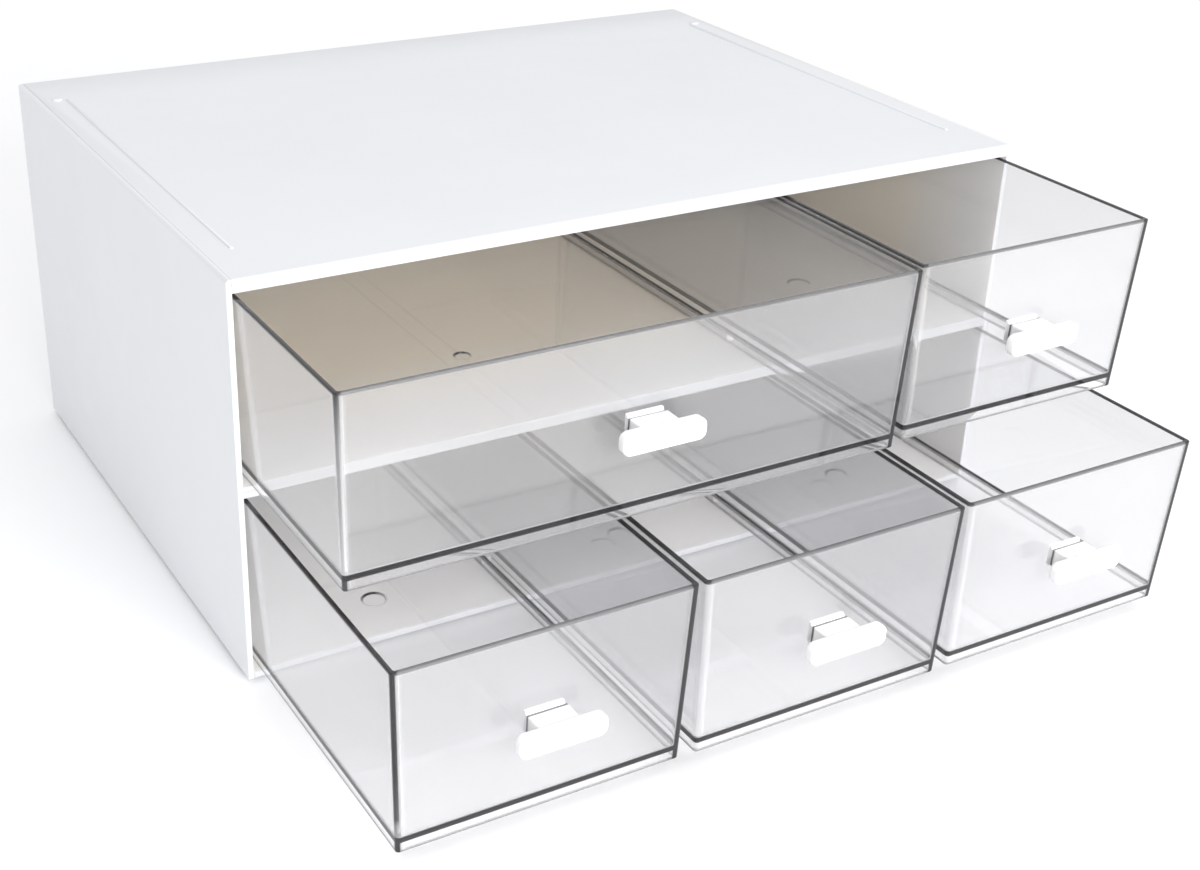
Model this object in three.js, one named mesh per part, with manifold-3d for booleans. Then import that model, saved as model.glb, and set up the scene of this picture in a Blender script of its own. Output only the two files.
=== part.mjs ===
// Desk organizer: a white moulded cabinet that holds two rows of clear pull-out tubs.
// Millimetres, +Z up, drawer fronts facing -Y, rubber feet standing on z = 0.
import * as THREE from 'three';
import { mergeVertices } from 'three/addons/utils/BufferGeometryUtils.js';
import Module from 'manifold-3d';

const wasm = await Module();
wasm.setup();

// ---- Driving dimensions ----

const seam = 0.3; // air gap between pieces that touch on the real object
const cabinet = { width: 360, depth: 266, height: 165, cornerRadius: 1.6, edgeBevel: 0.5 };
const sheet = { side: 2.2, back: 2.6, top: 3, bottom: 3, shelf: 2.6 };
const lip = { depth: 3, topHeight: 5.4, shelfHeight: 5 };
const groove = { depth: 1.2, frontStop: 8 }; // housing for the shelf in each side panel
const foot = { radius: 6, height: 2, inset: 16 };
const stackingRib = { inset: 13, width: 1.4, height: 0.6, frontStop: 28, backStop: 34 };
const stackingBoss = { radius: 2.4, height: 0.8, sideInset: 9, endInset: 32 };
const guide = { height: 7, width: 1.4, floorHeight: 3.2, floorWidth: 4.4, frontStop: 30, backStop: 12 };

const drawer = { height: 74, wall: 1.8, floor: 1.4, skirt: 4.2, sideDraft: 2.3, frontDraft: 2.6 };
const tubCorner = { outer: 1.5, inner: 0.8, floorFillet: 0.6 };
const play = { side: 0.5, between: 2.2, under: 0.5, behind: 1.6 };
const gateMark = { radius: 4.6, depth: 0.5, wideRadius: 3.2, behindCentre: 11 };

const handle = { width: 34, height: 8.6, thickness: 4.8, reach: 11.5, round: 3.4, level: 36.6 };
const stem = { width: 16, height: 8 };
const tongue = { width: 15, height: 6.4, slotPlay: 0.3, past: 2.2, hook: 1.1, hookLength: 1.4 };

// How far each drawer stands open, by its place in the grid of lanes.
const drawers = [
  { name: 'wide_drawer', row: 1, lane: 0, lanes: 2, open: 86 },
  { name: 'upper_right_drawer', row: 1, lane: 2, lanes: 1, open: 83 },
  { name: 'lower_left_drawer', row: 0, lane: 0, lanes: 1, open: 124 },
  { name: 'lower_middle_drawer', row: 0, lane: 1, lanes: 1, open: 124.5 },
  { name: 'lower_right_drawer', row: 0, lane: 2, lanes: 1, open: 124 },
];

// ---- Dimensions that follow ----

const halfWidth = cabinet.width / 2;
const baseZ = foot.height;
const roofZ = baseZ + cabinet.height;
const floorZ = baseZ + sheet.bottom;
const rowHeight = (cabinet.height - sheet.bottom - lip.shelfHeight - lip.topHeight) / 2;
const shelfTopZ = floorZ + rowHeight + lip.shelfHeight;
const rowZ = [floorZ + play.under, shelfTopZ + play.under];
const innerHalf = halfWidth - sheet.side - seam; // reach of the pieces that stand between the sides
const laneWidth = (cabinet.width - 2 * (sheet.side + play.side) - 2 * play.between) / 3;
const lanePitch = laneWidth + play.between;
const laneEdge = lanePitch / 2; // x of the two lines between lanes
const tubLength = cabinet.depth - sheet.back - seam - play.behind;
const widestOpen = Math.max(...drawers.map((item) => item.open));
const panelSetBack = drawer.frontDraft * (1 - (handle.level + handle.height / 2) / drawer.height);
const handleFace = panelSetBack - seam; // y of the stem's back, measured from the tub's front rim
const handleFront = handleFace - handle.reach;

// ---- Materials ----

function plastic(color, roughness, extra = {}) {
  return new THREE.MeshStandardMaterial({ color, roughness, metalness: 0, ...extra });
}

const shellPlastic = () => plastic(0xeceff2, 0.42);
const clearPlastic = () => plastic(0xe6e8f0, 0.08, { transparent: true, opacity: 0.35 });
const handlePlastic = () => plastic(0xfafafa, 0.38);
const footRubber = () => plastic(0x8d9094, 0.85);

// ---- Solid helpers ----

function toSolid(geometry) {
  const bare = geometry.clone();
  bare.deleteAttribute('normal');
  bare.deleteAttribute('uv');
  const merged = mergeVertices(bare, 1e-4);
  return new wasm.Manifold(new wasm.Mesh({
    numProp: 3,
    vertProperties: new Float32Array(merged.attributes.position.array),
    triVerts: new Uint32Array(merged.index.array),
  }));
}

function toGeometry(solid) {
  const mesh = solid.getMesh();
  const geometry = new THREE.BufferGeometry();
  geometry.setAttribute('position', new THREE.BufferAttribute(mesh.vertProperties, 3));
  geometry.setIndex(new THREE.BufferAttribute(mesh.triVerts, 1));
  geometry.computeVertexNormals();
  return geometry;
}

function block(x0, x1, y0, y1, z0, z1) {
  const geometry = new THREE.BoxGeometry(x1 - x0, y1 - y0, z1 - z0);
  geometry.translate((x0 + x1) / 2, (y0 + y1) / 2, (z0 + z1) / 2);
  return toSolid(geometry);
}

function disc(x, y, z0, z1, radius, sides) {
  const geometry = new THREE.CylinderGeometry(radius, radius, z1 - z0, sides);
  geometry.rotateX(Math.PI / 2);
  geometry.translate(x, y, (z0 + z1) / 2);
  return toSolid(geometry);
}

function join(first, ...others) {
  return others.reduce((whole, piece) => whole.add(piece), first);
}

function cut(first, ...tools) {
  return tools.reduce((whole, tool) => whole.subtract(tool), first);
}

// A rounded rectangle in the XY plane, counter-clockwise.
function roundedRectangle(halfX, y0, y1, radius) {
  const shape = new THREE.Shape();
  shape.moveTo(halfX, y0 + radius);
  shape.lineTo(halfX, y1 - radius);
  shape.absarc(halfX - radius, y1 - radius, radius, 0, Math.PI / 2);
  shape.absarc(radius - halfX, y1 - radius, radius, Math.PI / 2, Math.PI);
  shape.absarc(radius - halfX, y0 + radius, radius, Math.PI, 1.5 * Math.PI);
  shape.absarc(halfX - radius, y0 + radius, radius, 1.5 * Math.PI, 2 * Math.PI);
  return shape;
}

// A flat sheet with rounded corners and bevelled edges, lying from z = 0 to z = thickness.
function sheetSolid(halfX, y0, y1, thickness) {
  const bevel = cabinet.edgeBevel;
  const geometry = new THREE.ExtrudeGeometry(
    roundedRectangle(halfX, y0, y1, cabinet.cornerRadius),
    {
      depth: thickness - 2 * bevel,
      bevelThickness: bevel,
      bevelSize: bevel,
      bevelOffset: -bevel,
      bevelSegments: 1,
      curveSegments: 3,
    },
  );
  geometry.translate(0, 0, bevel);
  return toSolid(geometry);
}

// Convex solid through a stack of rounded rectangles, given from the lowest level up.
function loft(levels) {
  const steps = 4;
  const positions = [];
  for (const { halfX, y0, y1, radius, z } of levels) {
    const corners = [
      [halfX - radius, y1 - radius],
      [radius - halfX, y1 - radius],
      [radius - halfX, y0 + radius],
      [halfX - radius, y0 + radius],
    ];
    corners.forEach(([cx, cy], quarter) => {
      for (let step = 0; step <= steps; step += 1) {
        const angle = (quarter + step / steps) * (Math.PI / 2);
        positions.push(cx + radius * Math.cos(angle), cy + radius * Math.sin(angle), z);
      }
    });
  }
  const ring = 4 * (steps + 1);
  const last = (levels.length - 1) * ring;
  const faces = [];
  for (let level = 0; level < levels.length - 1; level += 1) {
    for (let side = 0; side < ring; side += 1) {
      const a = level * ring + side;
      const b = level * ring + ((side + 1) % ring);
      faces.push(a, b, b + ring, a, b + ring, a + ring);
    }
  }
  for (let side = 1; side < ring - 1; side += 1) {
    faces.push(0, side + 1, side, last, last + side, last + side + 1);
  }
  const geometry = new THREE.BufferGeometry();
  geometry.setAttribute('position', new THREE.Float32BufferAttribute(positions, 3));
  geometry.setIndex(faces);
  return toSolid(geometry);
}

function part(name, solid, material) {
  const mesh = new THREE.Mesh(toGeometry(solid), material);
  mesh.name = name;
  return mesh;
}

// ---- Cabinet panels ----

// Guide fin that hangs from a panel's underside, or stands on its top, on a line between lanes.
function fin(x, width, z0, z1) {
  const end = cabinet.depth - sheet.back - guide.backStop;
  return block(x - width / 2, x + width / 2, guide.frontStop, end, z0, z1);
}

function sidePanel(sign) {
  const outline = new THREE.ExtrudeGeometry(
    roundedRectangle(cabinet.depth / 2, -cabinet.height / 2, cabinet.height / 2, cabinet.cornerRadius),
    {
      depth: sheet.side - 2 * cabinet.edgeBevel,
      bevelThickness: cabinet.edgeBevel,
      bevelSize: cabinet.edgeBevel,
      bevelOffset: -cabinet.edgeBevel,
      bevelSegments: 1,
      curveSegments: 3,
    },
  );
  outline.translate(0, 0, cabinet.edgeBevel - sheet.side / 2);
  outline.rotateX(Math.PI / 2);
  outline.rotateZ(Math.PI / 2);
  const middle = sign * (halfWidth - sheet.side / 2);
  outline.translate(middle, cabinet.depth / 2, baseZ + cabinet.height / 2);
  const inner = sign * (halfWidth - sheet.side);
  const deep = inner + sign * groove.depth;
  const housing = block(
    Math.min(inner - sign, deep),
    Math.max(inner - sign, deep),
    groove.frontStop,
    cabinet.depth - sheet.back,
    shelfTopZ - sheet.shelf - seam,
    shelfTopZ + seam,
  );
  return cut(toSolid(outline), housing);
}

function topPanel() {
  let solid = sheetSolid(innerHalf, 0, cabinet.depth, sheet.top).translate([0, 0, roofZ - sheet.top]);
  const lipBottom = roofZ - lip.topHeight;
  solid = join(solid, block(-innerHalf, innerHalf, 0.2, lip.depth, lipBottom, roofZ - 1));
  solid = join(solid, fin(laneEdge, guide.width, roofZ - sheet.top - guide.height, roofZ - 1));
  for (const side of [-1, 1]) {
    const ribX = side * (halfWidth - stackingRib.inset);
    const halfRib = stackingRib.width / 2;
    solid = join(
      solid,
      block(
        ribX - halfRib,
        ribX + halfRib,
        stackingRib.frontStop,
        cabinet.depth - stackingRib.backStop,
        roofZ - 1,
        roofZ + stackingRib.height,
      ),
    );
    const bossX = side * (halfWidth - stackingBoss.sideInset);
    const bossY = cabinet.depth - stackingBoss.endInset;
    solid = join(
      solid,
      disc(bossX, bossY, roofZ - 1, roofZ + stackingBoss.height, stackingBoss.radius, 16),
    );
  }
  return solid;
}

function shelf() {
  const back = cabinet.depth - sheet.back - seam;
  const underside = shelfTopZ - sheet.shelf;
  let solid = block(-innerHalf, innerHalf, 0, back, underside, shelfTopZ);
  const ear = innerHalf + groove.depth;
  solid = join(solid, block(-ear, ear, groove.frontStop + seam, back - seam, underside, shelfTopZ));
  const lipBottom = shelfTopZ - lip.shelfHeight;
  solid = join(solid, block(-innerHalf, innerHalf, 0, lip.depth, lipBottom, shelfTopZ));
  for (const side of [-1, 1]) {
    solid = join(solid, fin(side * laneEdge, guide.width, underside - guide.height, shelfTopZ - 1));
  }
  return join(solid, fin(laneEdge, guide.floorWidth, shelfTopZ - 1, shelfTopZ + guide.floorHeight));
}

function bottomPanel() {
  const back = cabinet.depth - sheet.back - seam;
  let solid = sheetSolid(innerHalf, 0, back, sheet.bottom).translate([0, 0, baseZ]);
  for (const side of [-1, 1]) {
    solid = join(solid, fin(side * laneEdge, guide.floorWidth, floorZ - 1, floorZ + guide.floorHeight));
  }
  return solid;
}

function backPanel() {
  const front = cabinet.depth - sheet.back;
  return block(-innerHalf, innerHalf, front, cabinet.depth, baseZ, roofZ - sheet.top - seam);
}

function footPad(x, y) {
  const profile = [
    new THREE.Vector2(0, 0),
    new THREE.Vector2(foot.radius - 0.5, 0),
    new THREE.Vector2(foot.radius, 0.5),
    new THREE.Vector2(foot.radius, foot.height - seam),
    new THREE.Vector2(0, foot.height - seam),
  ];
  const pad = new THREE.LatheGeometry(profile, 24);
  pad.rotateX(Math.PI / 2);
  pad.translate(x, y, 0);
  return toSolid(pad);
}

// ---- Drawers, each built with its closed front rim on y = 0 and its underside on z = 0 ----

// Rounded outline of a tub at one height, pushed in by offset and tapered by the draft.
function tubLevel(width, z, offset, radius) {
  const taper = 1 - z / drawer.height;
  return {
    halfX: width / 2 - drawer.sideDraft * taper - offset,
    y0: drawer.frontDraft * taper + offset,
    y1: tubLength - drawer.sideDraft * taper - offset,
    radius,
    z,
  };
}

function tub(width, markRadius) {
  const { height, wall, floor, skirt } = drawer;
  const { outer, inner, floorFillet } = tubCorner;
  const body = loft([tubLevel(width, 0, 0, outer), tubLevel(width, height, 0, outer)]);
  const floorTop = skirt + floor;
  const levels = [];
  const fans = 2;
  for (let step = 0; step <= fans; step += 1) {
    const angle = (step / fans) * (Math.PI / 2);
    const rise = floorFillet * (1 - Math.cos(angle));
    const run = floorFillet * (1 - Math.sin(angle));
    levels.push(tubLevel(width, floorTop + rise, wall + run, inner + 0.4 * run));
  }
  levels.push(tubLevel(width, height + 1, wall, inner));
  const hollow = loft(levels);
  const recess = loft([tubLevel(width, -1, wall, inner), tubLevel(width, skirt, wall, inner)]);
  const markY = tubLength / 2 + gateMark.behindCentre;
  const mark = disc(0, markY, floorTop - gateMark.depth, floorTop + 1, markRadius, 20);
  const halfSlot = tongue.width / 2 + tongue.slotPlay;
  const halfRise = tongue.height / 2 + tongue.slotPlay;
  const slot = block(
    -halfSlot, halfSlot, -1, 8, handle.level - halfRise, handle.level + halfRise,
  );
  return cut(body, hollow, recess, mark, slot);
}

// White T-shaped pull: a bar on a stem, with a tongue that snaps through the tub's front wall.
function pull() {
  const { level } = handle;
  const barBack = handleFront + handle.thickness;
  const barShape = new THREE.Shape();
  const halfBar = handle.width / 2;
  const halfTall = handle.height / 2;
  const corner = handle.round;
  barShape.moveTo(halfBar, corner - halfTall);
  barShape.absarc(halfBar - corner, halfTall - corner, corner, 0, Math.PI / 2);
  barShape.absarc(corner - halfBar, halfTall - corner, corner, Math.PI / 2, Math.PI);
  barShape.absarc(corner - halfBar, corner - halfTall, corner, Math.PI, 1.5 * Math.PI);
  barShape.absarc(halfBar - corner, corner - halfTall, corner, 1.5 * Math.PI, 2 * Math.PI);
  const ease = 1;
  const bar = new THREE.ExtrudeGeometry(barShape, {
    depth: handle.thickness - 2 * ease,
    bevelThickness: ease,
    bevelSize: ease,
    bevelOffset: -ease,
    bevelSegments: 2,
    curveSegments: 4,
  });
  bar.rotateX(Math.PI / 2);
  bar.translate(0, barBack - ease, level);
  const halfStem = stem.width / 2;
  const neck = block(
    -halfStem, halfStem, barBack - 2, handleFace, level - stem.height / 2, level + stem.height / 2,
  );
  const innerFace = panelSetBack + drawer.wall;
  const tip = innerFace + seam + tongue.past;
  const hookStart = tip - tongue.hookLength;
  const halfTongue = tongue.width / 2;
  const rise = tongue.height / 2;
  const shank = block(-halfTongue, halfTongue, handleFace - 1, tip, level - rise, level + rise);
  const hooks = block(
    -halfTongue, halfTongue, hookStart, tip, level - rise - tongue.hook, level + rise + tongue.hook,
  );
  return join(toSolid(bar), neck, shank, hooks);
}

// ---- Assembly ----

const organizer = new THREE.Group();
organizer.position.y = -(cabinet.depth - widestOpen + handleFront) / 2;

organizer.add(
  part('left_side_panel', sidePanel(-1), shellPlastic()),
  part('right_side_panel', sidePanel(1), shellPlastic()),
  part('top_panel', topPanel(), shellPlastic()),
  part('middle_shelf', shelf(), shellPlastic()),
  part('bottom_panel', bottomPanel(), shellPlastic()),
  part('back_panel', backPanel(), shellPlastic()),
);

const footPlaces = [
  ['front_left_foot', -1, foot.inset],
  ['front_right_foot', 1, foot.inset],
  ['back_left_foot', -1, cabinet.depth - foot.inset],
  ['back_right_foot', 1, cabinet.depth - foot.inset],
];
for (const [name, side, y] of footPlaces) {
  organizer.add(part(name, footPad(side * (halfWidth - foot.inset), y), footRubber()));
}

for (const item of drawers) {
  const width = item.lanes * lanePitch - play.between;
  const left = -1.5 * lanePitch + play.between / 2 + item.lane * lanePitch;
  const pulledOut = new THREE.Group();
  pulledOut.position.set(left + width / 2, -item.open, rowZ[item.row]);
  const markRadius = item.lanes > 1 ? gateMark.wideRadius : gateMark.radius;
  pulledOut.add(
    part(`${item.name}_tub`, tub(width, markRadius), clearPlastic()),
    part(`${item.name}_handle`, pull(), handlePlastic()),
  );
  organizer.add(pulledOut);
}

export default organizer;
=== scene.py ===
"""Desk organizer: a white moulded cabinet with two rows of clear pull-out tubs."""

import math

import bmesh
import bpy
from mathutils import Matrix, Vector


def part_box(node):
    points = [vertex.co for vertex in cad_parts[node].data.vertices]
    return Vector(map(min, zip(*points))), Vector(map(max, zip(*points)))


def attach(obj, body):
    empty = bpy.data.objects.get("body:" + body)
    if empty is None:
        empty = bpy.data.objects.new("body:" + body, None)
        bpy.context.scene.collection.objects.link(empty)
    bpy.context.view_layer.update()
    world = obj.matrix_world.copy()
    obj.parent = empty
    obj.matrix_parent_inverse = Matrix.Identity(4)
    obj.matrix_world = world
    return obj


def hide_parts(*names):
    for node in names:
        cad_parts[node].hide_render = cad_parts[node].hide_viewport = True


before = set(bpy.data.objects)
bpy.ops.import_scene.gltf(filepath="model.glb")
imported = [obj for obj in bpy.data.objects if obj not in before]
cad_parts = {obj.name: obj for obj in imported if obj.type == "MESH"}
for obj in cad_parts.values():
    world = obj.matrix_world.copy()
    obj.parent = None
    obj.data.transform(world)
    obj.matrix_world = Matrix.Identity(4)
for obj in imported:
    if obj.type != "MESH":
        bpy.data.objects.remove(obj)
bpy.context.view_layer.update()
scene = bpy.context.scene
MM = 0.001


# ---- Side panels ----
# Two injection-moulded sheets of white polypropylene that carry everything else.
# Their long top edges are rolled over a little, and each has a housing for the shelf.

side_roll = 1.6 * MM
side_ease = 0.5 * MM
shelf_sheet = 2.6 * MM
shelf_fin_height = 3.2 * MM
shelf_play = 0.15 * MM
back_sheet = 2.6 * MM
housing_depth = 1.2 * MM
housing_start = 8 * MM
lane_edge = 59.467 * MM
skin_depth = 0.1 * MM


def node_input(node, name, value):
    """Sets an unlinked input of a node."""
    node.inputs[name].default_value = value


def shell_plastic(name, tint, rough=0.4, shade=0.975):
    """White moulded plastic: faint flow clouding, a fine spark-eroded grain and rubbed patches."""
    material = bpy.data.materials.new(name)
    material.use_nodes = True
    nodes, links = material.node_tree.nodes, material.node_tree.links
    shader = nodes["Principled BSDF"]
    place = nodes.new("ShaderNodeTexCoord")

    cloud = nodes.new("ShaderNodeTexNoise")
    node_input(cloud, "Scale", 14.0)
    node_input(cloud, "Detail", 3.0)
    links.new(place.outputs["Object"], cloud.inputs["Vector"])
    colour = nodes.new("ShaderNodeValToRGB")
    colour.color_ramp.elements[0].position = 0.3
    colour.color_ramp.elements[1].position = 0.7
    colour.color_ramp.elements[0].color = (*[c * shade for c in tint], 1)
    colour.color_ramp.elements[1].color = (*tint, 1)
    links.new(cloud.outputs["Fac"], colour.inputs["Fac"])
    links.new(colour.outputs["Color"], shader.inputs["Base Color"])

    rubbed = nodes.new("ShaderNodeTexNoise")
    node_input(rubbed, "Scale", 55.0)
    node_input(rubbed, "Detail", 5.0)
    node_input(rubbed, "Roughness", 0.62)
    links.new(place.outputs["Object"], rubbed.inputs["Vector"])
    sheen = nodes.new("ShaderNodeMapRange")
    node_input(sheen, "From Min", 0.3)
    node_input(sheen, "From Max", 0.7)
    node_input(sheen, "To Min", rough - 0.05)
    node_input(sheen, "To Max", rough + 0.06)
    links.new(rubbed.outputs["Fac"], sheen.inputs["Value"])
    links.new(sheen.outputs["Result"], shader.inputs["Roughness"])

    grain = nodes.new("ShaderNodeTexNoise")
    node_input(grain, "Scale", 1900.0)
    node_input(grain, "Detail", 2.0)
    links.new(place.outputs["Object"], grain.inputs["Vector"])
    bump = nodes.new("ShaderNodeBump")
    node_input(bump, "Strength", 0.12)
    node_input(bump, "Distance", 0.00015)
    links.new(grain.outputs["Fac"], bump.inputs["Height"])
    links.new(bump.outputs["Normal"], shader.inputs["Normal"])
    node_input(shader, "IOR", 1.49)
    return material


def multiply_colour(material, share, tint):
    """Multiplies the base colour by a tint, as strongly as the share (0 to 1) says."""
    nodes, links = material.node_tree.nodes, material.node_tree.links
    base = nodes["Principled BSDF"].inputs["Base Color"]
    own_colour = base.links[0].from_socket
    blend = nodes.new("ShaderNodeMix")
    blend.data_type = "RGBA"
    blend.blend_type = "MULTIPLY"
    # Socket names repeat on this node, so its colour sockets are taken by their identifiers.
    ends = {socket.identifier: socket for socket in blend.inputs}
    ends["B_Color"].default_value = (*tint, 1)
    links.new(share, ends["Factor_Float"])
    links.new(own_colour, ends["A_Color"])
    result = {socket.identifier: socket for socket in blend.outputs}["Result_Color"]
    links.new(result, base)


def paint_warm_shade_above(material, level, warm_shade_tint, depth):
    """Painted warm shade: the upper row's inner faces are a warmer white, from a certain depth on,
    than the rest.
    """
    nodes, links = material.node_tree.nodes, material.node_tree.links
    place = nodes.new("ShaderNodeTexCoord")
    parts = nodes.new("ShaderNodeSeparateXYZ")
    links.new(place.outputs["Object"], parts.inputs[0])
    deep = nodes.new("ShaderNodeMapRange")
    deep.interpolation_type = "SMOOTHSTEP"
    node_input(deep, "From Min", depth[0])
    node_input(deep, "From Max", depth[1])
    links.new(parts.outputs["Y"], deep.inputs["Value"])
    share = nodes.new("ShaderNodeMapRange")
    node_input(share, "From Min", level - 0.5 * MM)
    node_input(share, "From Max", level + 0.5 * MM)
    links.new(parts.outputs["Z"], share.inputs["Value"])
    links.new(deep.outputs["Result"], share.inputs["To Max"])
    multiply_colour(material, share.outputs["Result"], warm_shade_tint)


def sink_line_painted_shade(material, middle_x, apart, width, tint):
    """Two faint sink lines run from front to back over a fin on the sheet's other side. The lines
    are real, but their darkness is painted shade, a darker band in the colour instead of a dip.
    """
    nodes, links = material.node_tree.nodes, material.node_tree.links
    place = nodes.new("ShaderNodeTexCoord")
    parts = nodes.new("ShaderNodeSeparateXYZ")
    links.new(place.outputs["Object"], parts.inputs[0])
    across = nodes.new("ShaderNodeMath")
    across.operation = "SUBTRACT"
    across.inputs[1].default_value = middle_x
    links.new(parts.outputs["X"], across.inputs[0])
    off_centre = nodes.new("ShaderNodeMath")
    off_centre.operation = "ABSOLUTE"
    links.new(across.outputs[0], off_centre.inputs[0])
    near_line = nodes.new("ShaderNodeMath")
    near_line.operation = "COMPARE"
    near_line.inputs[1].default_value = apart / 2
    near_line.inputs[2].default_value = width / 2
    links.new(off_centre.outputs[0], near_line.inputs[0])
    multiply_colour(material, near_line.outputs[0], tint)


shell_outside = shell_plastic("shell_outside", (0.705, 0.717, 0.74))
# Painted shade: the middle shelf's and the bottom panel's front faces are a darker copy of the same
# white plastic.
shell_front_painted_shade = shell_plastic("shell_front_painted_shade", (0.6, 0.605, 0.615))
# Painted light: the inner faces are a lighter, warmer copy of the same white plastic, standing in
# for the warm light that bounces round inside the cabinet.
shell_inside_painted_light = shell_plastic("shell_inside_painted_light", (0.94, 0.925, 0.9), 0.46)
# Painted warm shade above the shelf, growing towards the back.
paint_warm_shade_above(shell_inside_painted_light, 84.5 * MM, (0.985, 0.915, 0.785), (-55 * MM, 15 * MM))
# Painted shade for the sink lines' shallow dips.
sink_line_painted_shade(shell_inside_painted_light, -lane_edge, 9.2 * MM, MM, (0.9, 0.9, 0.9))


def new_object(name, shape):
    """Puts a finished bmesh into the scene as an object."""
    mesh = bpy.data.meshes.new(name)
    shape.to_mesh(mesh)
    shape.free()
    thing = bpy.data.objects.new(name, mesh)
    scene.collection.objects.link(thing)
    return thing


def box_shape(low, high):
    """A sharp box as a bmesh, with its middle and its size."""
    shape = bmesh.new()
    bmesh.ops.create_cube(shape, size=1)
    middle, size = (Vector(low) + Vector(high)) / 2, Vector(high) - Vector(low)
    for vertex in shape.verts:
        vertex.co = middle + Vector(a * b for a, b in zip(vertex.co, size))
    return shape, middle, size


def plain_box(name, low, high):
    """A sharp box, mostly used to cut or to join, and removed afterwards."""
    return new_object(name, box_shape(low, high)[0])


def skin(shape, loops, flip=False):
    """Joins rings of as many points one after another, and closes both ends."""
    count = len(loops[0])
    for lower, upper in zip(loops, loops[1:]):
        for k in range(count):
            n = (k + 1) % count
            first, second = (n, k) if flip else (k, n)
            shape.faces.new((lower[first], lower[second], upper[second], upper[first]))
    shape.faces.new(loops[0] if flip else loops[0][::-1])
    shape.faces.new(loops[-1][::-1] if flip else loops[-1])


def edge_box(name, low, high, weights, width, tools=(), steps=5):
    """A box whose edges are rounded by the weight that weights(where) gives each one, where
    is the edge's middle in a box from -1 to 1. Tools are pairs of a solid and an operation."""
    shape, middle, size = box_shape(low, high)
    layer = shape.edges.layers.float.new("bevel_weight_edge")
    for edge in shape.edges:
        a, b = edge.verts[0].co, edge.verts[1].co
        where = Vector(2 * (c - m) / s for c, m, s in zip((a + b) / 2, middle, size))
        edge[layer] = weights(Vector(round(c) for c in where))
    thing = new_object(name, shape)
    bevel = thing.modifiers.new("edges", "BEVEL")
    bevel.limit_method = "WEIGHT"
    bevel.width = width
    bevel.segments = steps
    bevel.harden_normals = False
    for tool, operation in tools:
        add_boolean(thing, tool, operation)
    return settle(thing, [tool for tool, _ in tools])


def add_boolean(thing, tool, operation):
    change = thing.modifiers.new(operation.lower(), "BOOLEAN")
    change.operation = operation
    change.solver = "EXACT"
    change.object = tool


def settle(thing, tools=(), angle=32):
    """Turns the modifiers' result into a plain mesh with smooth faces and crisp edges."""
    scene.view_layers[0].update()
    evaluated = thing.evaluated_get(bpy.context.evaluated_depsgraph_get())
    mesh = bpy.data.meshes.new_from_object(evaluated)
    mesh.name = thing.name
    thing.modifiers.clear()
    thing.data = mesh
    for tool in tools:
        bpy.data.objects.remove(tool)
    shape = bmesh.new()
    shape.from_mesh(mesh)
    bmesh.ops.remove_doubles(shape, verts=shape.verts, dist=1e-7)
    shape.to_mesh(mesh)
    shape.free()
    mesh.shade_smooth()
    mesh.set_sharp_from_angle(angle=math.radians(angle))
    return thing


def second_finish(thing, material, belongs):
    """Gives the faces for which belongs(middle, normal) holds another finish."""
    thing.data.materials.append(material)
    for face in thing.data.polygons:
        if belongs(face.center, face.normal):
            face.material_index = 1


def finish_piece(thing, material, node, body):
    """Gives a piece its material, its body and the node that it stands for."""
    thing.data.materials.clear()
    thing.data.materials.append(material)
    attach(thing, body)
    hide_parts(node)


shelf_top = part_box("middle_shelf")[1].z - shelf_fin_height

for side, node in ((-1, "left_side_panel"), (1, "right_side_panel")):
    low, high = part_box(node)
    inner = high.x if side < 0 else low.x
    housing_x = sorted((inner - side * MM, inner + side * housing_depth))
    housing = plain_box(
        "housing",
        (housing_x[0], low.y + housing_start, shelf_top - shelf_sheet - shelf_play),
        (housing_x[1], high.y - back_sheet, shelf_top + shelf_play),
    )

    def side_edges(where, side=side):
        outer = where.x == side
        if outer and where.z == 1 and where.y == 0:
            return 1.0
        return side_ease / side_roll if outer or where.x == 0 else 0.15

    panel = edge_box(
        "side_panel_left" if side < 0 else "side_panel_right",
        low,
        high,
        side_edges,
        side_roll,
        [(housing, "DIFFERENCE")],
    )
    finish_piece(panel, shell_outside, node, "cabinet")
    second_finish(panel, shell_inside_painted_light, lambda middle, out, side=side: out.x * side < -0.5)


# ---- Top panel ----
# A flat sheet between the sides with a deep front lip, a guide fin underneath, two low
# stacking ribs and two locating bosses. It is moulded in one piece.

seam_closing = 0.22 * MM
front_lip = 3 * MM
lip_drop = 5.4 * MM
top_sheet = 3 * MM
roof = 167 * MM
rib_width = 1.4 * MM
rib_height = 0.6 * MM
rib_x = 167 * MM
rib_start = 28 * MM
rib_stop = 34 * MM
boss_radius = 2.4 * MM
boss_height = 0.8 * MM
boss_x = 171 * MM
boss_from_back = 32 * MM
fin_start = 30 * MM
fin_stop = 14.6 * MM
hanging_fin = 1.4 * MM
standing_fin = 4.4 * MM


def fin_box(x, width, low_z, high_z):
    """A guide fin along the line between two lanes, on the panel whose box is low to high."""
    return plain_box(
        "fin",
        (x - width / 2, low.y + fin_start, low_z),
        (x + width / 2, high.y - fin_stop, high_z),
    )


def low_dome(name, x, y, z, radius, height):
    """A shallow round boss with a soft edge, sunk a little below the surface it stands on."""
    shape = bmesh.new()
    sides, rings = 32, 6
    levels = [(radius, -0.8 * MM)]
    for step in range(rings):
        angle = step / rings * math.pi / 2
        levels.append((radius - height * (1 - math.cos(angle)), height * math.sin(angle)))
    loops = []
    for reach, rise in levels:
        loop = []
        for k in range(sides):
            angle = 2 * math.pi * k / sides
            point = (x + reach * math.cos(angle), y + reach * math.sin(angle), z + rise)
            loop.append(shape.verts.new(point))
        loops.append(loop)
    skin(shape, loops)
    return new_object(name, shape)


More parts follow.
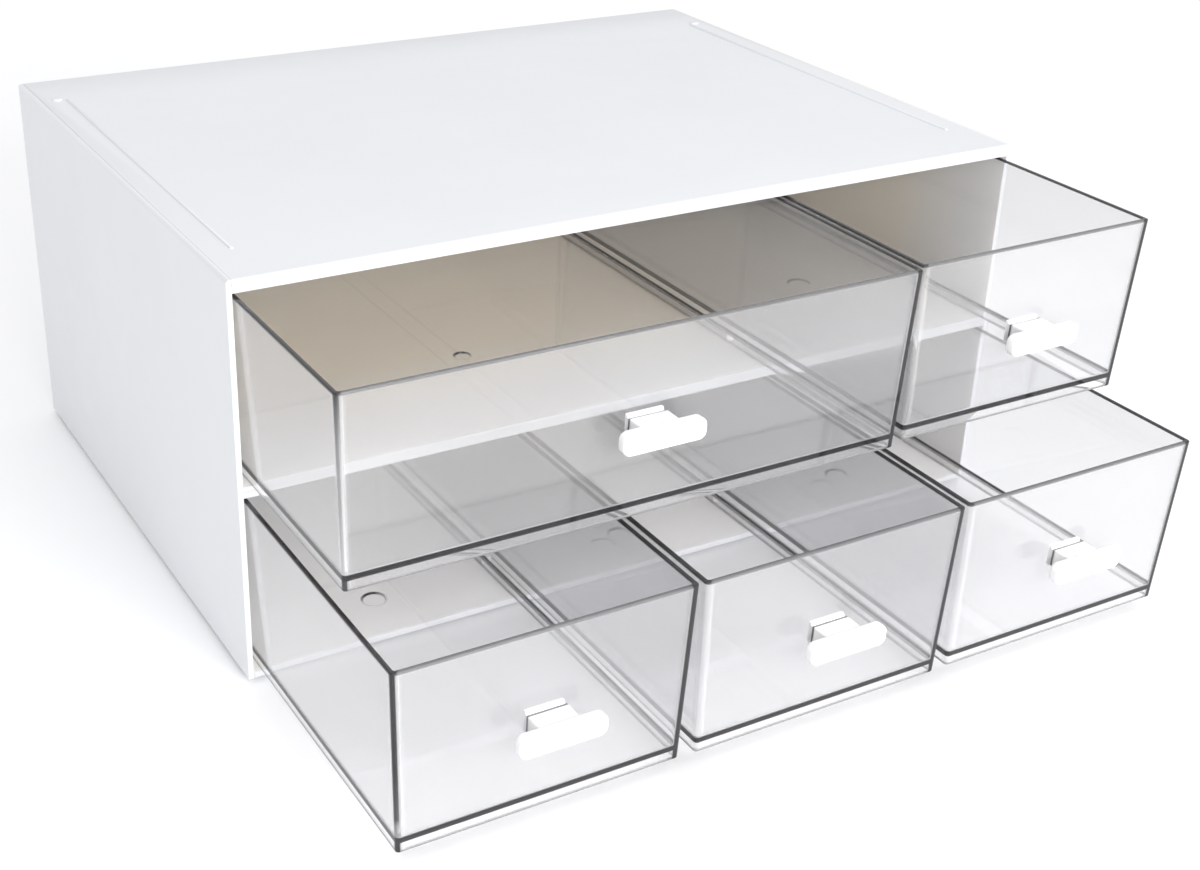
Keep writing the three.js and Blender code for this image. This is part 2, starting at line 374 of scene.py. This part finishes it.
low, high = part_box("top_panel")
roof_low = Vector((low.x - seam_closing, low.y, roof - top_sheet))
roof_high = Vector((high.x + seam_closing, high.y, roof))
lip = plain_box(
    "lip",
    (roof_low.x, low.y + 0.6 * MM, roof - lip_drop),
    (roof_high.x, low.y + front_lip, roof - 1.2 * MM),
)
fin = fin_box(lane_edge, hanging_fin, low.z, roof - MM)
roof_tools = [(lip, "UNION"), (fin, "UNION")]
for side in (-1, 1):
    rib = edge_box(
        "rib",
        (side * rib_x - rib_width / 2, low.y + rib_start, roof - MM),
        (side * rib_x + rib_width / 2, high.y - rib_stop, roof + rib_height),
        lambda where: 1.0 if where.z == 1 else 0.0,
        0.5 * MM,
        steps=3,
    )
    boss_y = high.y - boss_from_back
    boss = low_dome("boss", side * boss_x, boss_y, roof, boss_radius, boss_height)
    roof_tools += [(rib, "UNION"), (boss, "UNION")]


def roof_edges(where):
    if where.x == 0 and where.y == -1:
        return 1.0 if where.z == 1 else 0.0
    return 0.35 if where.z == 1 else 0.0


roof_panel = edge_box(
    "roof_panel", roof_low, roof_high, roof_edges, 0.8 * MM, roof_tools, steps=4
)
finish_piece(roof_panel, shell_outside, "top_panel", "cabinet")
roof_underside = roof - top_sheet + skin_depth
second_finish(
    roof_panel, shell_inside_painted_light, lambda middle, out: middle.z < roof_underside and out.y > -0.5
)


# ---- Middle shelf, bottom panel and back panel ----
# Plain moulded sheets. The shelf has a front lip and ears that sit in the side panels'
# housings; fins below and above keep the drawers in their lanes.

shelf_lip_drop = 5 * MM
bottom_sheet = 3 * MM
front_ease = 0.6 * MM
panel_left, panel_right = roof_low.x, roof_high.x


def front_edges(where):
    return 1.0 if where.x == 0 and where.y == -1 else 0.0


low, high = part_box("middle_shelf")
shelf_front = low.y
ears = plain_box(
    "ears",
    (low.x, low.y + housing_start + 0.3 * MM, shelf_top - shelf_sheet),
    (high.x, high.y - 0.3 * MM, shelf_top),
)
shelf_lip = plain_box(
    "shelf_lip",
    (panel_left, low.y + 0.5 * MM, shelf_top - shelf_lip_drop),
    (panel_right, low.y + front_lip, shelf_top - 0.8 * MM),
)
shelf_tools = [(ears, "UNION"), (shelf_lip, "UNION")]
for side in (-1, 1):
    hanging = fin_box(side * lane_edge, hanging_fin, low.z, shelf_top - MM)
    shelf_tools.append((hanging, "UNION"))
standing = fin_box(lane_edge, standing_fin, shelf_top - MM, high.z)
shelf_tools.append((standing, "UNION"))
shelf = edge_box(
    "shelf",
    (panel_left, low.y, shelf_top - shelf_sheet),
    (panel_right, high.y, shelf_top),
    front_edges,
    front_ease,
    shelf_tools,
    steps=4,
)
# The shelf's front faces get the darker copy of the plastic, which is painted shade.
finish_piece(shelf, shell_front_painted_shade, "middle_shelf", "cabinet")
second_finish(shelf, shell_inside_painted_light, lambda middle, out: middle.y > shelf_front + 0.9 * front_ease)

low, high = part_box("bottom_panel")
floor_top = low.z + bottom_sheet
floor_tools = []
for side in (-1, 1):
    standing = fin_box(side * lane_edge, standing_fin, floor_top - MM, high.z)
    floor_tools.append((standing, "UNION"))
base = edge_box(
    "base_panel",
    (panel_left, low.y, low.z),
    (panel_right, high.y, floor_top),
    front_edges,
    front_ease,
    floor_tools,
    steps=4,
)
# The bottom panel's front and lower faces get the darker copy of the plastic, which is painted
# shade.
finish_piece(base, shell_front_painted_shade, "bottom_panel", "cabinet")
floor_level = floor_top - skin_depth
second_finish(base, shell_inside_painted_light, lambda middle, out: middle.z > floor_level and out.y > -0.5)

low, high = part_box("back_panel")
back = edge_box(
    "back_sheet",
    (panel_left, low.y, low.z),
    (panel_right, high.y, high.z + seam_closing),
    lambda where: 1.0 if where.y == 1 else 0.0,
    0.4 * MM,
    steps=3,
)
finish_piece(back, shell_outside, "back_panel", "cabinet")
second_finish(back, shell_inside_painted_light, lambda middle, out: out.y < -0.5)


# ---- Foot pads ----
# Four discs of grey thermoplastic rubber under the corners, each with a rounded rim and
# two shallow grip grooves. They are glued into the bottom panel's corners.

foot_names = ("front_left_foot", "front_right_foot", "back_left_foot", "back_right_foot")


def pad_tree(material):
    """Geometry Nodes: a round pad with ring grooves underneath and a rounded rim."""
    tree = bpy.data.node_groups.new("foot_pad", "GeometryNodeTree")
    face = tree.interface
    face.new_socket("Geometry", in_out="OUTPUT", socket_type="NodeSocketGeometry")
    sizes = {}
    for name, value in (
        ("Radius", 6 * MM),
        ("Height", 1.7 * MM),
        ("Rim", 0.5 * MM),
        ("Groove", 0.15 * MM),
    ):
        socket = face.new_socket(name, in_out="INPUT", socket_type="NodeSocketFloat")
        socket.default_value = value
        sizes[name] = socket.identifier
    socket = face.new_socket("Place", in_out="INPUT", socket_type="NodeSocketVector")
    sizes["Place"] = socket.identifier
    nodes, links = tree.nodes, tree.links
    given = nodes.new("NodeGroupInput")
    result = nodes.new("NodeGroupOutput")

    def maths(operation, *values):
        node = nodes.new("ShaderNodeMath")
        node.operation = operation
        for slot, value in zip(node.inputs, values):
            if isinstance(value, (int, float)):
                slot.default_value = value
            else:
                links.new(value, slot)
        return node.outputs[0]

    disc = nodes.new("GeometryNodeMeshCylinder")
    node_input(disc, "Vertices", 48)
    node_input(disc, "Side Segments", 6)
    node_input(disc, "Fill Segments", 10)
    links.new(given.outputs["Radius"], disc.inputs["Radius"])
    links.new(given.outputs["Height"], disc.inputs["Depth"])
    spot = nodes.new("GeometryNodeInputPosition")
    parts = nodes.new("ShaderNodeSeparateXYZ")
    links.new(spot.outputs[0], parts.inputs[0])
    x_squared = maths("POWER", parts.outputs["X"], 2.0)
    y_squared = maths("POWER", parts.outputs["Y"], 2.0)
    reach = maths("SQRT", maths("ADD", x_squared, y_squared))
    share = maths("DIVIDE", reach, given.outputs["Radius"])
    wave = maths("MAXIMUM", maths("SINE", maths("MULTIPLY", share, 4 * math.pi)), 0.0)
    under = maths("LESS_THAN", parts.outputs["Z"], 0.0)
    inside = maths("LESS_THAN", share, 0.85)
    where_grooved = maths("MULTIPLY", under, inside)
    groove = maths("MULTIPLY", maths("MULTIPLY", wave, given.outputs["Groove"]), where_grooved)
    lift = nodes.new("ShaderNodeCombineXYZ")
    links.new(groove, lift.inputs["Z"])
    pressed = nodes.new("GeometryNodeSetPosition")
    links.new(disc.outputs["Mesh"], pressed.inputs["Geometry"])
    links.new(lift.outputs[0], pressed.inputs["Offset"])

    # The lowest edge of the rim is drawn in, so that the pad has a rounded foot.
    half_height = maths("MULTIPLY", given.outputs["Height"], 0.5)
    above_foot = maths("ADD", parts.outputs["Z"], half_height)
    low_share = maths("DIVIDE", above_foot, given.outputs["Rim"])
    near_rim = maths("GREATER_THAN", share, 0.95)
    left = maths("SUBTRACT", 1.0, maths("MINIMUM", low_share, 1.0))
    curve = maths("MULTIPLY", maths("POWER", left, 2.0), given.outputs["Rim"])
    draw_in = maths("MULTIPLY", curve, near_rim)
    shrink = maths("DIVIDE", maths("MULTIPLY", draw_in, -1.0), given.outputs["Radius"])
    inward = nodes.new("ShaderNodeVectorMath")
    inward.operation = "SCALE"
    flat = nodes.new("ShaderNodeCombineXYZ")
    links.new(parts.outputs["X"], flat.inputs["X"])
    links.new(parts.outputs["Y"], flat.inputs["Y"])
    links.new(flat.outputs[0], inward.inputs[0])
    links.new(shrink, inward.inputs["Scale"])
    rounded = nodes.new("GeometryNodeSetPosition")
    links.new(pressed.outputs[0], rounded.inputs["Geometry"])
    links.new(inward.outputs[0], rounded.inputs["Offset"])

    moved = nodes.new("GeometryNodeTransform")
    links.new(rounded.outputs[0], moved.inputs["Geometry"])
    links.new(given.outputs["Place"], moved.inputs["Translation"])
    real = nodes.new("GeometryNodeRealizeInstances")
    links.new(moved.outputs[0], real.inputs[0])
    dressed = nodes.new("GeometryNodeSetMaterial")
    node_input(dressed, "Material", material)
    links.new(real.outputs[0], dressed.inputs["Geometry"])
    links.new(dressed.outputs[0], result.inputs["Geometry"])
    return tree, sizes


# Grey rubber: matt, slightly mottled, with the same fine tooth as the shell.
foot_rubber = shell_plastic("pad_rubber", (0.26, 0.265, 0.27), 0.78)
pad_nodes, pad_sizes = pad_tree(foot_rubber)
for node in foot_names:
    low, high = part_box(node)
    pad = bpy.data.objects.new("pad_" + node.removesuffix("_foot"), bpy.data.meshes.new(node))
    scene.collection.objects.link(pad)
    turned = pad.modifiers.new("pad", "NODES")
    turned.node_group = pad_nodes
    turned[pad_sizes["Radius"]] = (high.x - low.x) / 2
    turned[pad_sizes["Height"]] = high.z - low.z
    turned[pad_sizes["Place"]] = (low + high) / 2
    settle(pad)
    finish_piece(pad, foot_rubber, node, "cabinet")


# ---- Drawer tubs ----
# Clear polystyrene tubs, moulded in one shot: tapered walls, a rounded rim, a floor held
# up by a low skirt, soft inside edges and a round gate mark just behind the floor's middle.

drawer_names = (
    "wide_drawer",
    "upper_right_drawer",
    "lower_left_drawer",
    "lower_middle_drawer",
    "lower_right_drawer",
)
wall = 1.8 * MM
tub_floor = 1.4 * MM
skirt = 4.2 * MM
side_draft = 2.3 * MM
front_draft = 2.6 * MM
outer_corner = 1.5 * MM
inner_corner = 0.8 * MM
floor_fillet = 0.6 * MM
rim_round = 0.5 * MM
skirt_round = 0.4 * MM
gate_radius = 4.6 * MM
wide_gate_radius = 3.2 * MM
gate_depth = 0.5 * MM
gate_edge = 0.35 * MM
behind_centre = 11 * MM
slot_half_width = 7.8 * MM
slot_half_height = 3.5 * MM
slot_depth = 8 * MM
pull_level = 36.6 * MM

# How much light the walls scatter; how far beside a corner or a rim its painted dark tone is held,
# where its painted bright halo lies and where it ends; how tall the painted dark line at the
# floor's level is.
haze_share = 0.05
hold = 0.4 * MM
halo = 1.1 * MM
fade = 2 * MM
line_half = MM
line_fade = 0.3 * MM


def clear_plastic():
    """Clear polystyrene: refracts, with painted dark corners and rims and a painted bright halo
    beside them, faint haze and flow marks.
    """
    material = bpy.data.materials.new("clear_plastic")
    material.use_nodes = True
    nodes, links = material.node_tree.nodes, material.node_tree.links
    shader = nodes["Principled BSDF"]
    node_input(shader, "IOR", 1.49)
    place = nodes.new("ShaderNodeTexCoord")
    haze = nodes.new("ShaderNodeTexNoise")
    node_input(haze, "Scale", 30.0)
    node_input(haze, "Detail", 4.0)
    links.new(place.outputs["Object"], haze.inputs["Vector"])
    polish = nodes.new("ShaderNodeMapRange")
    node_input(polish, "From Min", 0.35)
    node_input(polish, "From Max", 0.7)
    node_input(polish, "To Min", 0.0)
    node_input(polish, "To Max", 0.05)
    links.new(haze.outputs["Fac"], polish.inputs["Value"])
    links.new(polish.outputs["Result"], shader.inputs["Roughness"])
    flow = nodes.new("ShaderNodeTexNoise")
    node_input(flow, "Scale", 22.0)
    node_input(flow, "Detail", 1.0)
    links.new(place.outputs["Object"], flow.inputs["Vector"])
    bump = nodes.new("ShaderNodeBump")
    node_input(bump, "Strength", 0.1)
    node_input(bump, "Distance", 0.0004)
    links.new(flow.outputs["Fac"], bump.inputs["Height"])
    links.new(bump.outputs["Normal"], shader.inputs["Normal"])

    # Light that runs along inside the sheet is lost at the corners and rims, which look dark, and
    # is scattered out just beside them, which looks bright.
    # Both are painted: two point attributes darken the colour and cut the transmission at the
    # corners and rims (painted shade), and cut the transmission beside them for a painted
    # highlight.
    dark = nodes.new("ShaderNodeAttribute")
    dark.attribute_name = "painted_edge_shade"
    bright = nodes.new("ShaderNodeAttribute")
    bright.attribute_name = "painted_edge_highlight"
    tone = nodes.new("ShaderNodeValToRGB")
    tone.color_ramp.elements[0].color = (0.912, 0.912, 0.92, 1)
    tone.color_ramp.elements[1].position = 0.9
    tone.color_ramp.elements[1].color = (0.022, 0.021, 0.023, 1)
    links.new(dark.outputs["Fac"], tone.inputs["Fac"])
    links.new(tone.outputs["Color"], shader.inputs["Base Color"])
    lost = nodes.new("ShaderNodeMath")
    lost.operation = "MULTIPLY_ADD"
    lost.inputs[1].default_value = -0.8
    lost.inputs[2].default_value = 1 - haze_share
    links.new(dark.outputs["Fac"], lost.inputs[0])
    clear = nodes.new("ShaderNodeMath")
    clear.operation = "MULTIPLY_ADD"
    clear.inputs[1].default_value = -0.5
    links.new(bright.outputs["Fac"], clear.inputs[0])
    links.new(lost.outputs[0], clear.inputs[2])
    links.new(clear.outputs[0], shader.inputs["Transmission Weight"])

    # Lamps shine through the walls as they do through real clear plastic.
    rays = nodes.new("ShaderNodeLightPath")
    through = nodes.new("ShaderNodeBsdfTransparent")
    node_input(through, "Color", (0.965, 0.965, 0.97, 1))
    blend = nodes.new("ShaderNodeMixShader")
    links.new(rays.outputs["Is Shadow Ray"], blend.inputs[0])
    links.new(shader.outputs[0], blend.inputs[1])
    links.new(through.outputs[0], blend.inputs[2])
    links.new(blend.outputs[0], nodes["Material Output"].inputs["Surface"])
    return material


tub_plastic = clear_plastic()
# Painted shade: the slot's cut walls are the tub's own clear plastic, but get this near-black
# finish for how dark they look.
slot_wall_painted_shade = shell_plastic("slot_wall_painted_shade", (0.11, 0.11, 0.115), 0.25, 0.8)


arc_steps = 8
per_corner = arc_steps + 5
rear_right, rear_left, front_left, front_right = range(4)


def ring_points(box, z, inset, radius):
    """One level of a tub: a rounded rectangle, with two points beside the ends of each arc."""
    low, high = box
    rise = 1 - (z - low.z) / (high.z - low.z)
    left = low.x + side_draft * rise + inset
    right = high.x - side_draft * rise - inset
    front = low.y + front_draft * rise + inset
    rear = high.y - side_draft * rise - inset
    centres = (
        (right - radius, rear - radius),
        (left + radius, rear - radius),
        (left + radius, front + radius),
        (right - radius, front + radius),
    )
    points = []
    for quarter, (x, y) in enumerate(centres):
        start = quarter * math.pi / 2
        arc = []
        for step in range(arc_steps + 1):
            angle = start + step / arc_steps * math.pi / 2
            arc.append(Vector((x + radius * math.cos(angle), y + radius * math.sin(angle), z)))
        before = Vector((math.sin(start), -math.cos(start), 0))
        after = Vector((-math.cos(start), -math.sin(start), 0))
        points += [arc[0] + fade * before, arc[0] + halo * before]
        points += arc
        points += [arc[-1] + halo * after, arc[-1] + fade * after]
    return points


def point_tones(k, dark, bright, corner, left_front):
    """How much painted shade and painted highlight point k of a ring gets: the ring's own tones, or
    its corners'.

    Corner is how strongly the ring's corners show, or "mark" on the gate mark's rings."""
    # On the gate mark, the painted shade is strongest on the dimple's far side, towards the back.
    if corner == "mark":
        far_side = math.sin(2 * math.pi * (k + 0.5) / (4 * per_corner))
        return dark * (0.2 + 0.8 * max(0, far_side)), 0
    quarter, step = divmod(k, per_corner)
    on_arc = 2 <= step <= arc_steps + 2
    own = left_front if quarter == front_left else 0.8
    if quarter == front_right and 1 <= step <= arc_steps + 2:
        dark = max(dark, 0.95 if corner else 0)
    elif on_arc:
        edge = 0.6 if step in (2, arc_steps + 2) else 1
        dark = max(dark, edge * own * corner)
        if quarter == front_left and 0.3 < own < 0.9 and corner:
            bright = max(bright, 0.7 * (1 - own * corner))
    elif step in (1, arc_steps + 3):
        bright = max(bright, 0.4 * corner)

    # The front rim is the thinnest of the four, so its painted dark tone is paler.
    first = front_left * per_corner + arc_steps + 3
    last = front_right * per_corner
    if corner == 1 and first <= k <= last:
        dark *= 0.8
    return dark, 0 if dark > 0.4 else bright


def tub_levels(box, mark_radius, corner_fade):
    """Every ring of a tub, from the middle of its underside round the walls to the gate mark,
    each with how much painted shade and painted highlight it gets, and how strongly its corners
    show."""
    low, high = box
    base, rim = low.z, high.z
    floor = base + skirt + tub_floor
    rings = []

    def add(z, inset, radius, dark=0, bright=0, corner=0):
        rings.append((ring_points(box, z, inset, radius), dark, bright, corner))

    def bend(z, inset, radius, size, start, turn, steps, share=1.0, **tones):
        """A part of a circle in the tub's section, its corner radius changing along with it."""
        for step in range(steps + 1):
            angle = start + turn * step / steps
            out = size * math.cos(angle)
            corner_radius = max(radius + share * out, 0.3 * MM)
            add(z + size * math.sin(angle), inset - out, corner_radius, **tones)

    quarter = math.pi / 2
    foot = skirt_round
    add(base + skirt, wall + foot + hold, inner_corner)
    bend(base + skirt - foot, wall + foot, inner_corner, foot, quarter, -quarter, 3, 0)
    add(base + foot + hold, wall, inner_corner)
    inside, outside = inner_corner + foot, outer_corner - foot
    # Painted shade along the skirt's foot, a painted dark line at the floor's level and over the
    # rim, with faint painted highlight bands beside them.
    bend(base + foot, wall - foot, inside, foot, -2 * quarter, quarter, 3, dark=0.6, corner=0.9)
    bend(base + foot, foot, outside, foot, -quarter, quarter, 3, dark=0.6, corner=0.95)
    line = base + skirt + 0.8 * tub_floor
    for z, dark, bright, corner in (
        (base + foot + 0.3 * MM, 0.55, 0, 0.98),
        (base + foot + 0.7 * MM, 0, 0.1, 0.98),
        (line - line_half - line_fade, 0, 0.1, 0.98),
        (line - line_half, 1, 0, 0.98),
        (line + line_half, 1, 0, 0.98),
        (line + line_half + line_fade, 0, 0.25, 0.6 - corner_fade),
        (line + 2.2 * MM, 0, 0, 0.4 - corner_fade),
        (line + 9 * MM, 0, 0, 0.9 - 2 * corner_fade),
        (rim - 26 * MM, 0, 0, 0.98 - 1.4 * corner_fade),
        (rim - rim_round - hold - 0.3 * MM, 0, 0, 0.98),
        (rim - rim_round - hold, 0.7, 0, 0.98),
    ):
        add(z, 0, outer_corner, dark, bright, corner)
    top = rim - rim_round
    inside, outside = inner_corner + rim_round, outer_corner - rim_round
    bend(top, rim_round, outside, rim_round, 0, quarter, 4, dark=0.95, corner=1)
    bend(top, wall - rim_round, inside, rim_round, quarter, quarter, 4, dark=0.95, corner=1)
    add(rim - rim_round - hold, wall, inner_corner, 0.1)
    add(floor + floor_fillet + hold, wall, inner_corner)
    bend(floor + floor_fillet, wall + floor_fillet, inner_corner + 0.4 * floor_fillet, floor_fillet,
         0, -quarter, 4, -0.4)
    add(floor, wall + floor_fillet + hold, inner_corner + 0.4 * floor_fillet)

    # The gate mark is a shallow round dimple, so its rings are circles of as many points. Its edge
    # and wall carry painted shade.
    centre = Vector(((low.x + high.x) / 2, (low.y + high.y) / 2 + behind_centre, 0))
    count = len(rings[0][0])
    for radius, z, dark in (
        (mark_radius + 3 * gate_edge, floor, 0),
        (mark_radius + 2 * gate_edge, floor, 1),
        (mark_radius + 0.4 * gate_edge, floor - 0.3 * gate_depth, 1),
        (mark_radius, floor - gate_depth, 1),
        (mark_radius - gate_edge, floor - gate_depth, 0),
    ):
        circle = []
        for k in range(count):
            angle = 2 * math.pi * (k + 0.5) / count
            circle.append(centre + Vector((radius * math.cos(angle), radius * math.sin(angle), z)))
        rings.append((circle, dark, 0, "mark"))
    return rings


def tub_mesh(name, box, mark_radius, left_front, corner_fade):
    """A closed tub that carries its painted shade and painted highlight as two attributes of its
    points.
    """
    shape = bmesh.new()
    dark_layer = shape.verts.layers.float.new("painted_edge_shade")
    bright_layer = shape.verts.layers.float.new("painted_edge_highlight")
    loops = []
    for points, dark, bright, corner in tub_levels(box, mark_radius, corner_fade):
        loop = []
        for k, point in enumerate(points):
            vertex = shape.verts.new(point)
            tones = point_tones(k, dark, bright, corner, left_front)
            vertex[dark_layer], vertex[bright_layer] = tones
            loop.append(vertex)
        loops.append(loop)
    skin(shape, loops)
    return new_object(name, shape)


# How much painted shade each tub's left front corner gets; the others stand in front of another
# tub's wall.
left_front_painted_shade = {"wide_drawer": 0.89, "lower_left_drawer": 0.95}

for drawer in drawer_names:
    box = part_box(drawer + "_tub")
    low, high = box
    middle_x = (low.x + high.x) / 2
    slot_z = low.z + pull_level
    is_wide = drawer == "wide_drawer"
    tub = tub_mesh(
        drawer + "_clear",
        box,
        wide_gate_radius if is_wide else gate_radius,
        left_front_painted_shade.get(drawer, 0.15),
        0.3 if is_wide else 0,
    )
    slot_cut = plain_box(
        "slot",
        (middle_x - slot_half_width, low.y - MM, slot_z - slot_half_height),
        (middle_x + slot_half_width, low.y + slot_depth, slot_z + slot_half_height),
    )
    add_boolean(tub, slot_cut, "DIFFERENCE")
    settle(tub, [slot_cut])
    finish_piece(tub, tub_plastic, drawer + "_tub", drawer)

    def cut_by_slot(middle, out, x=middle_x, z=slot_z, behind=low.y + slot_depth):
        beside = abs(middle.x - x) < slot_half_width + 0.1 * skin_depth
        level = abs(middle.z - z) < slot_half_height + 0.1 * skin_depth
        return beside and level and middle.y < behind and abs(out.y) < 0.5

    # The slot's cut walls get the near-black painted shade.
    second_finish(tub, slot_wall_painted_shade, cut_by_slot)


# ---- Pulls ----
# One white ABS moulding for each drawer: a rounded bar on a stem, and a hooked tongue
# that snaps through the slot in the tub's front wall.

bar_width = 34 * MM
bar_height = 8.6 * MM
bar_thickness = 4.8 * MM
bar_corner = 3.1 * MM
bar_ease = 1.1 * MM
stem_width = 16 * MM
stem_height = 8 * MM
tongue_width = 15 * MM
tongue_height = 6.4 * MM
hook_height = 8.6 * MM
hook_length = 1.4 * MM
stem_length = 6.7 * MM

pull_plastic = shell_plastic("pull_plastic", (0.97, 0.97, 0.97), 0.3, 0.985)


def bar_shape(name, x, z, near, far):
    """A bar with deeply rounded ends, eased all round its front and its back."""
    shape = bmesh.new()
    loops = []
    steps = 6
    for y, out in (
        *((near + bar_ease * (1 - math.sin(a)), bar_ease * math.cos(a)) for a in turns(steps, 1)),
        *((far - bar_ease * (1 - math.sin(a)), bar_ease * math.cos(a)) for a in turns(steps, -1)),
    ):
        loop = []
        reach = bar_corner - bar_ease + out
        for quarter, (cx, cz) in enumerate(((1, 1), (-1, 1), (-1, -1), (1, -1))):
            middle_x = x + cx * (bar_width / 2 - bar_corner)
            middle_z = z + cz * (bar_height / 2 - bar_corner)
            for step in range(9):
                angle = (quarter + step / 8) * math.pi / 2
                across, up = reach * math.cos(angle), reach * math.sin(angle)
                loop.append(shape.verts.new((middle_x + across, y, middle_z + up)))
        loops.append(loop)
    skin(shape, loops, flip=True)
    return new_object(name, shape)


def turns(steps, direction):
    """Angles of a quarter turn, from the flat to the side or back again."""
    angles = [math.pi / 2 * (1 - step / steps) for step in range(steps + 1)]
    return angles if direction > 0 else angles[::-1]


for drawer in drawer_names:
    low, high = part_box(drawer + "_handle")
    x, z = (low.x + high.x) / 2, (low.z + high.z) / 2
    bar_back = low.y + bar_thickness
    seat = bar_back + stem_length

    def across(name, width, height, near, far, x=x, z=z):
        """A sharp block of the pull, centred on its axis, between two depths."""
        corner = Vector((width / 2, 0, height / 2))
        return plain_box(name, Vector((x, near, z)) - corner, Vector((x, far, z)) + corner)

    stem = edge_box(
        "stem",
        (x - stem_width / 2, bar_back - 2 * MM, z - stem_height / 2),
        (x + stem_width / 2, seat, z + stem_height / 2),
        lambda where: 1.0 if where.y == 0 else 0.3,
        0.8 * MM,
        steps=4,
    )
    tongue = across("tongue", tongue_width, tongue_height, seat - MM, high.y)
    hooks = across("hooks", tongue_width, hook_height, high.y - hook_length, high.y)
    pull = bar_shape(drawer + "_pull", x, z, low.y, bar_back)
    for part in (stem, tongue, hooks):
        add_boolean(pull, part, "UNION")
    settle(pull, [stem, tongue, hooks])
    finish_piece(pull, pull_plastic, drawer + "_handle", drawer)


# ---- Table, lights and camera ----
# A seamless white table under soft studio light, seen from the front left and above.


def table_paper():
    """White background paper, slightly greyer towards the middle, where the cabinet stands, as
    painted shade.
    """
    material = bpy.data.materials.new("table_white")
    material.use_nodes = True
    nodes, links = material.node_tree.nodes, material.node_tree.links
    shader = nodes["Principled BSDF"]
    node_input(shader, "Roughness", 0.6)
    place = nodes.new("ShaderNodeTexCoord")
    far = nodes.new("ShaderNodeVectorMath")
    far.operation = "LENGTH"
    links.new(place.outputs["Object"], far.inputs[0])
    fade_out = nodes.new("ShaderNodeMapRange")
    fade_out.interpolation_type = "SMOOTHSTEP"
    node_input(fade_out, "From Min", 0.3)
    node_input(fade_out, "From Max", 1.0)
    links.new(far.outputs["Value"], fade_out.inputs["Value"])
    tone = nodes.new("ShaderNodeValToRGB")
    tone.color_ramp.elements[0].color = (0.94, 0.94, 0.943, 1)
    tone.color_ramp.elements[1].color = (0.98, 0.98, 0.98, 1)
    links.new(fade_out.outputs["Result"], tone.inputs["Fac"])
    links.new(tone.outputs["Color"], shader.inputs["Base Color"])
    return material


table = plain_box("table", (-4, -4, -0.02), (4, 4, 0))
table.data.materials.append(table_paper())

world = bpy.data.worlds.new("studio")
scene.world = world
world.use_nodes = True
sky = world.node_tree.nodes["Background"]
node_input(sky, "Color", (0.985, 0.99, 1.0, 1))
node_input(sky, "Strength", 1.0)


def soft_lamp(name, place, target, size, power):
    """A rectangular softbox that faces its target."""
    lamp = bpy.data.lights.new(name, "AREA")
    lamp.shape = "RECTANGLE"
    lamp.size, lamp.size_y = size
    lamp.energy = power
    thing = bpy.data.objects.new(name, lamp)
    scene.collection.objects.link(thing)
    thing.location = place
    thing.rotation_mode = "QUATERNION"
    thing.rotation_quaternion = (Vector(target) - Vector(place)).to_track_quat("-Z", "Y")


soft_lamp("front_softbox", (0.05, -1.3, 0.52), (0, 0, 0.08), (1.1, 0.5), 16)

camera_data = bpy.data.cameras.new("camera")
camera = bpy.data.objects.new("camera", camera_data)
scene.collection.objects.link(camera)
scene.camera = camera
camera_data.sensor_width = 36
camera_data.lens = 53.45
camera_data.shift_x = 0.0435
camera_data.shift_y = -0.0055
camera_data.clip_start = 0.02
camera_data.clip_end = 20
azimuth, elevation, roll = (math.radians(a) for a in (-30.5, 26.73, 1.68))
outward = math.cos(elevation)
backward = Vector((math.sin(azimuth) * outward, -math.cos(azimuth) * outward, math.sin(elevation)))
right = Vector((0, 0, 1)).cross(backward).normalized()
up = backward.cross(right)
rolled_right = math.cos(roll) * right + math.sin(roll) * up
rolled_up = math.cos(roll) * up - math.sin(roll) * right
turn = Matrix((rolled_right, rolled_up, backward)).transposed()
camera.matrix_world = Matrix.Translation((-0.37108, -0.61047, 0.39944)) @ turn.to_4x4()
scene.view_settings.view_transform = "Standard"
